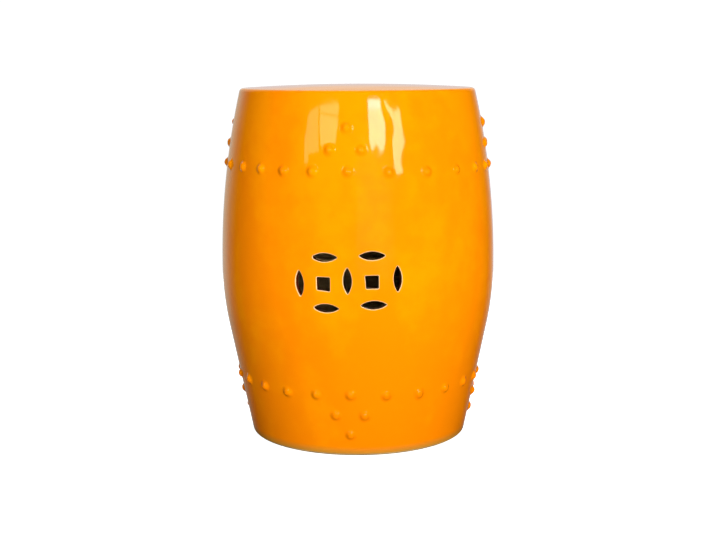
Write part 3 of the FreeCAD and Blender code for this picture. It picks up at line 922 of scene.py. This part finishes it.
# Lit panes that the glaze mirrors: brightness, colour, and corners as (x, z) on a wall in front
paneWall = -2.5
warm, cool = (1.0, 0.80, 0.42, 1), (1.0, 0.93, 0.76, 1)
panes = {
    "leftOuter": (4.0, warm, (
        (-1.60, 1.51), (-2.23, 1.50), (-2.24, 1.41), (-2.35, 1.25), (-2.26, 0.97), (-1.99, 0.95),
        (-1.99, 1.06), (-1.43, 1.03))),
    "leftInnerTop": (6.0, warm, (
        (-1.53, 1.50), (-0.68, 1.485), (-0.60, 1.45), (-0.60, 1.335), (-1.49, 1.415))),
    "leftInner": (6.6, warm, (
        (-1.48, 1.395), (-0.60, 1.315), (-0.67, 1.16), (-0.70, 1.06), (-1.37, 1.10))),
    "rightInnerTop": (18.5, (1.0, 0.93, 0.95, 1), (
        (0.61, 1.49), (1.21, 1.53), (1.18, 1.50), (1.20, 1.45), (0.62, 1.39))),
    "rightInner": (13.8, cool, (
        (0.62, 1.39), (1.20, 1.45), (1.34, 1.33), (1.32, 1.13), (1.23, 1.03), (1.08, 1.01),
        (0.92, 1.07), (0.75, 1.00), (0.65, 1.08))),
    "rightOuter": (12.0, (1.0, 0.93, 0.62, 1), (
        (1.37, 1.57), (1.65, 1.55), (1.90, 1.55), (2.35, 1.66), (2.40, 1.42), (2.60, 1.30), (2.10, 1.01),
        (2.30, 0.89), (1.80, 0.85), (1.70, 1.00), (1.70, 1.20), (1.85, 1.33), (1.73, 1.44), (1.42, 1.52))),
}


def link(name, data):
    thing = bpy.data.objects.new(name, data)
    bpy.context.scene.collection.objects.link(thing)
    return thing


def makeCamera():
    camera = link("camera", bpy.data.cameras.new("camera"))
    bpy.context.scene.camera = camera
    turn, away = studio["cameraTurn"], studio["cameraDistance"]
    camera.location = (away * math.sin(turn), -away * math.cos(turn), studio["cameraHeight"])
    aim = Euler((math.pi / 2 - studio["cameraPitch"], 0, turn)).to_matrix()
    camera.rotation_euler = (aim @ Euler((0, 0, studio["cameraRoll"])).to_matrix()).to_euler()
    camera.data.lens = studio["lens"]
    camera.data.sensor_width = 36
    camera.data.clip_end = 200


def makeFloor():
    mesh = bpy.data.meshes.new("floor")
    count, radius = 96, studio["floorRadius"]
    mesh.from_pydata([(radius * math.cos(math.tau * i / count), radius * math.sin(math.tau * i / count), 0.0)
                      for i in range(count)], [], [tuple(range(count))])
    floor = link("floor", mesh)
    material, board = newMaterial("pale_floor")
    pale = board.add("ShaderNodeBsdfPrincipled", {}, {
        "Base Color": (0.92, 0.92, 0.92, 1), "Roughness": 0.9, "Specular IOR Level": 0.0,
        "Emission Color": (1, 1, 1, 1), "Emission Strength": studio["floorGlow"]})
    seenInGlaze = board.add("ShaderNodeBsdfDiffuse", {}, {"Color": (studio["floorLight"],) * 3 + (1,)})
    toCamera = board.add("ShaderNodeLightPath", output="Is Camera Ray")
    shader = board.add("ShaderNodeMixShader", {}, {0: toCamera, 1: seenInGlaze, 2: pale})
    board.add("ShaderNodeOutputMaterial", {}, {"Surface": shader})
    mesh.materials.append(material)
    floor.visible_glossy = False             # the glaze mirrors the dark room instead


def makeSurroundings():
    world = bpy.data.worlds.new("studio")
    bpy.context.scene.world = world
    world.use_nodes = True
    board = Board(world.node_tree)
    ray = board.add("ShaderNodeTexCoord", output="Generated")
    across = board.add("ShaderNodeSeparateXYZ", {}, {"Vector": ray}, output="X")
    leftward = (0 - across).use("ARCTAN2", across.output("Y"))          # 0 straight behind the stool
    upward = across.output("Z")
    rightEnd, rightFull, leftFull, leftEnd = studio["sheetEdges"]
    sheet = board.ease(leftward, rightEnd, rightFull) * (1 - board.ease(leftward, leftFull, leftEnd))
    footLow, footHigh = (math.sin(angle) for angle in studio["sheetFoot"])
    sheet = sheet * board.ease(upward, footLow, footHigh)
    sideways = board.ease(leftward.use("ABSOLUTE"), *studio["sheetMiddleEdges"])
    sheetTop = (math.sin(angle) for angle in studio["sheetTop"])
    backdrop = board.tint(board.ease(upward, *sheetTop), studio["sheetMiddle"], studio["sheetHigh"])
    backdrop = board.tint(sideways, backdrop, studio["sheetSide"])
    mirrored = board.tint(sheet, (studio["darkRoom"],) * 3 + (1,), backdrop)
    soft = (studio["roomLight"],) * 3 + (1,)
    path = board.add("ShaderNodeLightPath", output="Is Camera Ray")
    colour = board.tint(path.output("Is Glossy Ray"), soft, mirrored)
    colour = board.tint(path, colour, (studio["paper"],) * 3 + (1,))
    light = board.add("ShaderNodeBackground", {}, {"Color": colour, "Strength": 1.0})
    board.add("ShaderNodeOutputWorld", {}, {"Surface": light})


def makeLight(name, turn, rise, size, power):
    # a soft panel that faces the belly; the glaze doesn't mirror it
    data = bpy.data.lights.new(name, "AREA")
    data.shape = "RECTANGLE"
    data.size, data.size_y = size
    data.energy = power
    light = link(name, data)
    out = Vector((math.sin(turn) * math.cos(rise), -math.cos(turn) * math.cos(rise), math.sin(rise)))
    light.location = Vector((0, 0, turned["bellyHeight"])) + out * studio["lightDistance"]
    light.rotation_euler = out.to_track_quat("Z", "Y").to_euler()
    light.visible_glossy = False


def makePanes():
    for name, (strength, colour, corners) in panes.items():
        mesh = bpy.data.meshes.new(name)
        mesh.from_pydata([(x, paneWall, z) for x, z in corners], [], [tuple(range(len(corners)))])
        pane = link(name + "Pane", mesh)
        material, board = newMaterial(name + "_light")
        shader = board.add("ShaderNodeEmission", {}, {"Color": colour, "Strength": strength})
        board.add("ShaderNodeOutputMaterial", {}, {"Surface": shader})
        mesh.materials.append(material)
        pane.visible_camera = False


makeCamera()
makeFloor()
makeSurroundings()
makeLight("softKey", studio["keyTurn"], studio["keyRise"], studio["broadSize"], studio["keyPower"])
makeLight("backFill", math.pi, 0.0, studio["fillSize"], studio["fillPower"])
makeLight("topFill", math.pi, studio["topRise"], studio["broadSize"], studio["topPower"])
makePanes()
bpy.context.scene.view_settings.view_transform = "Standard"
print("studio lit")
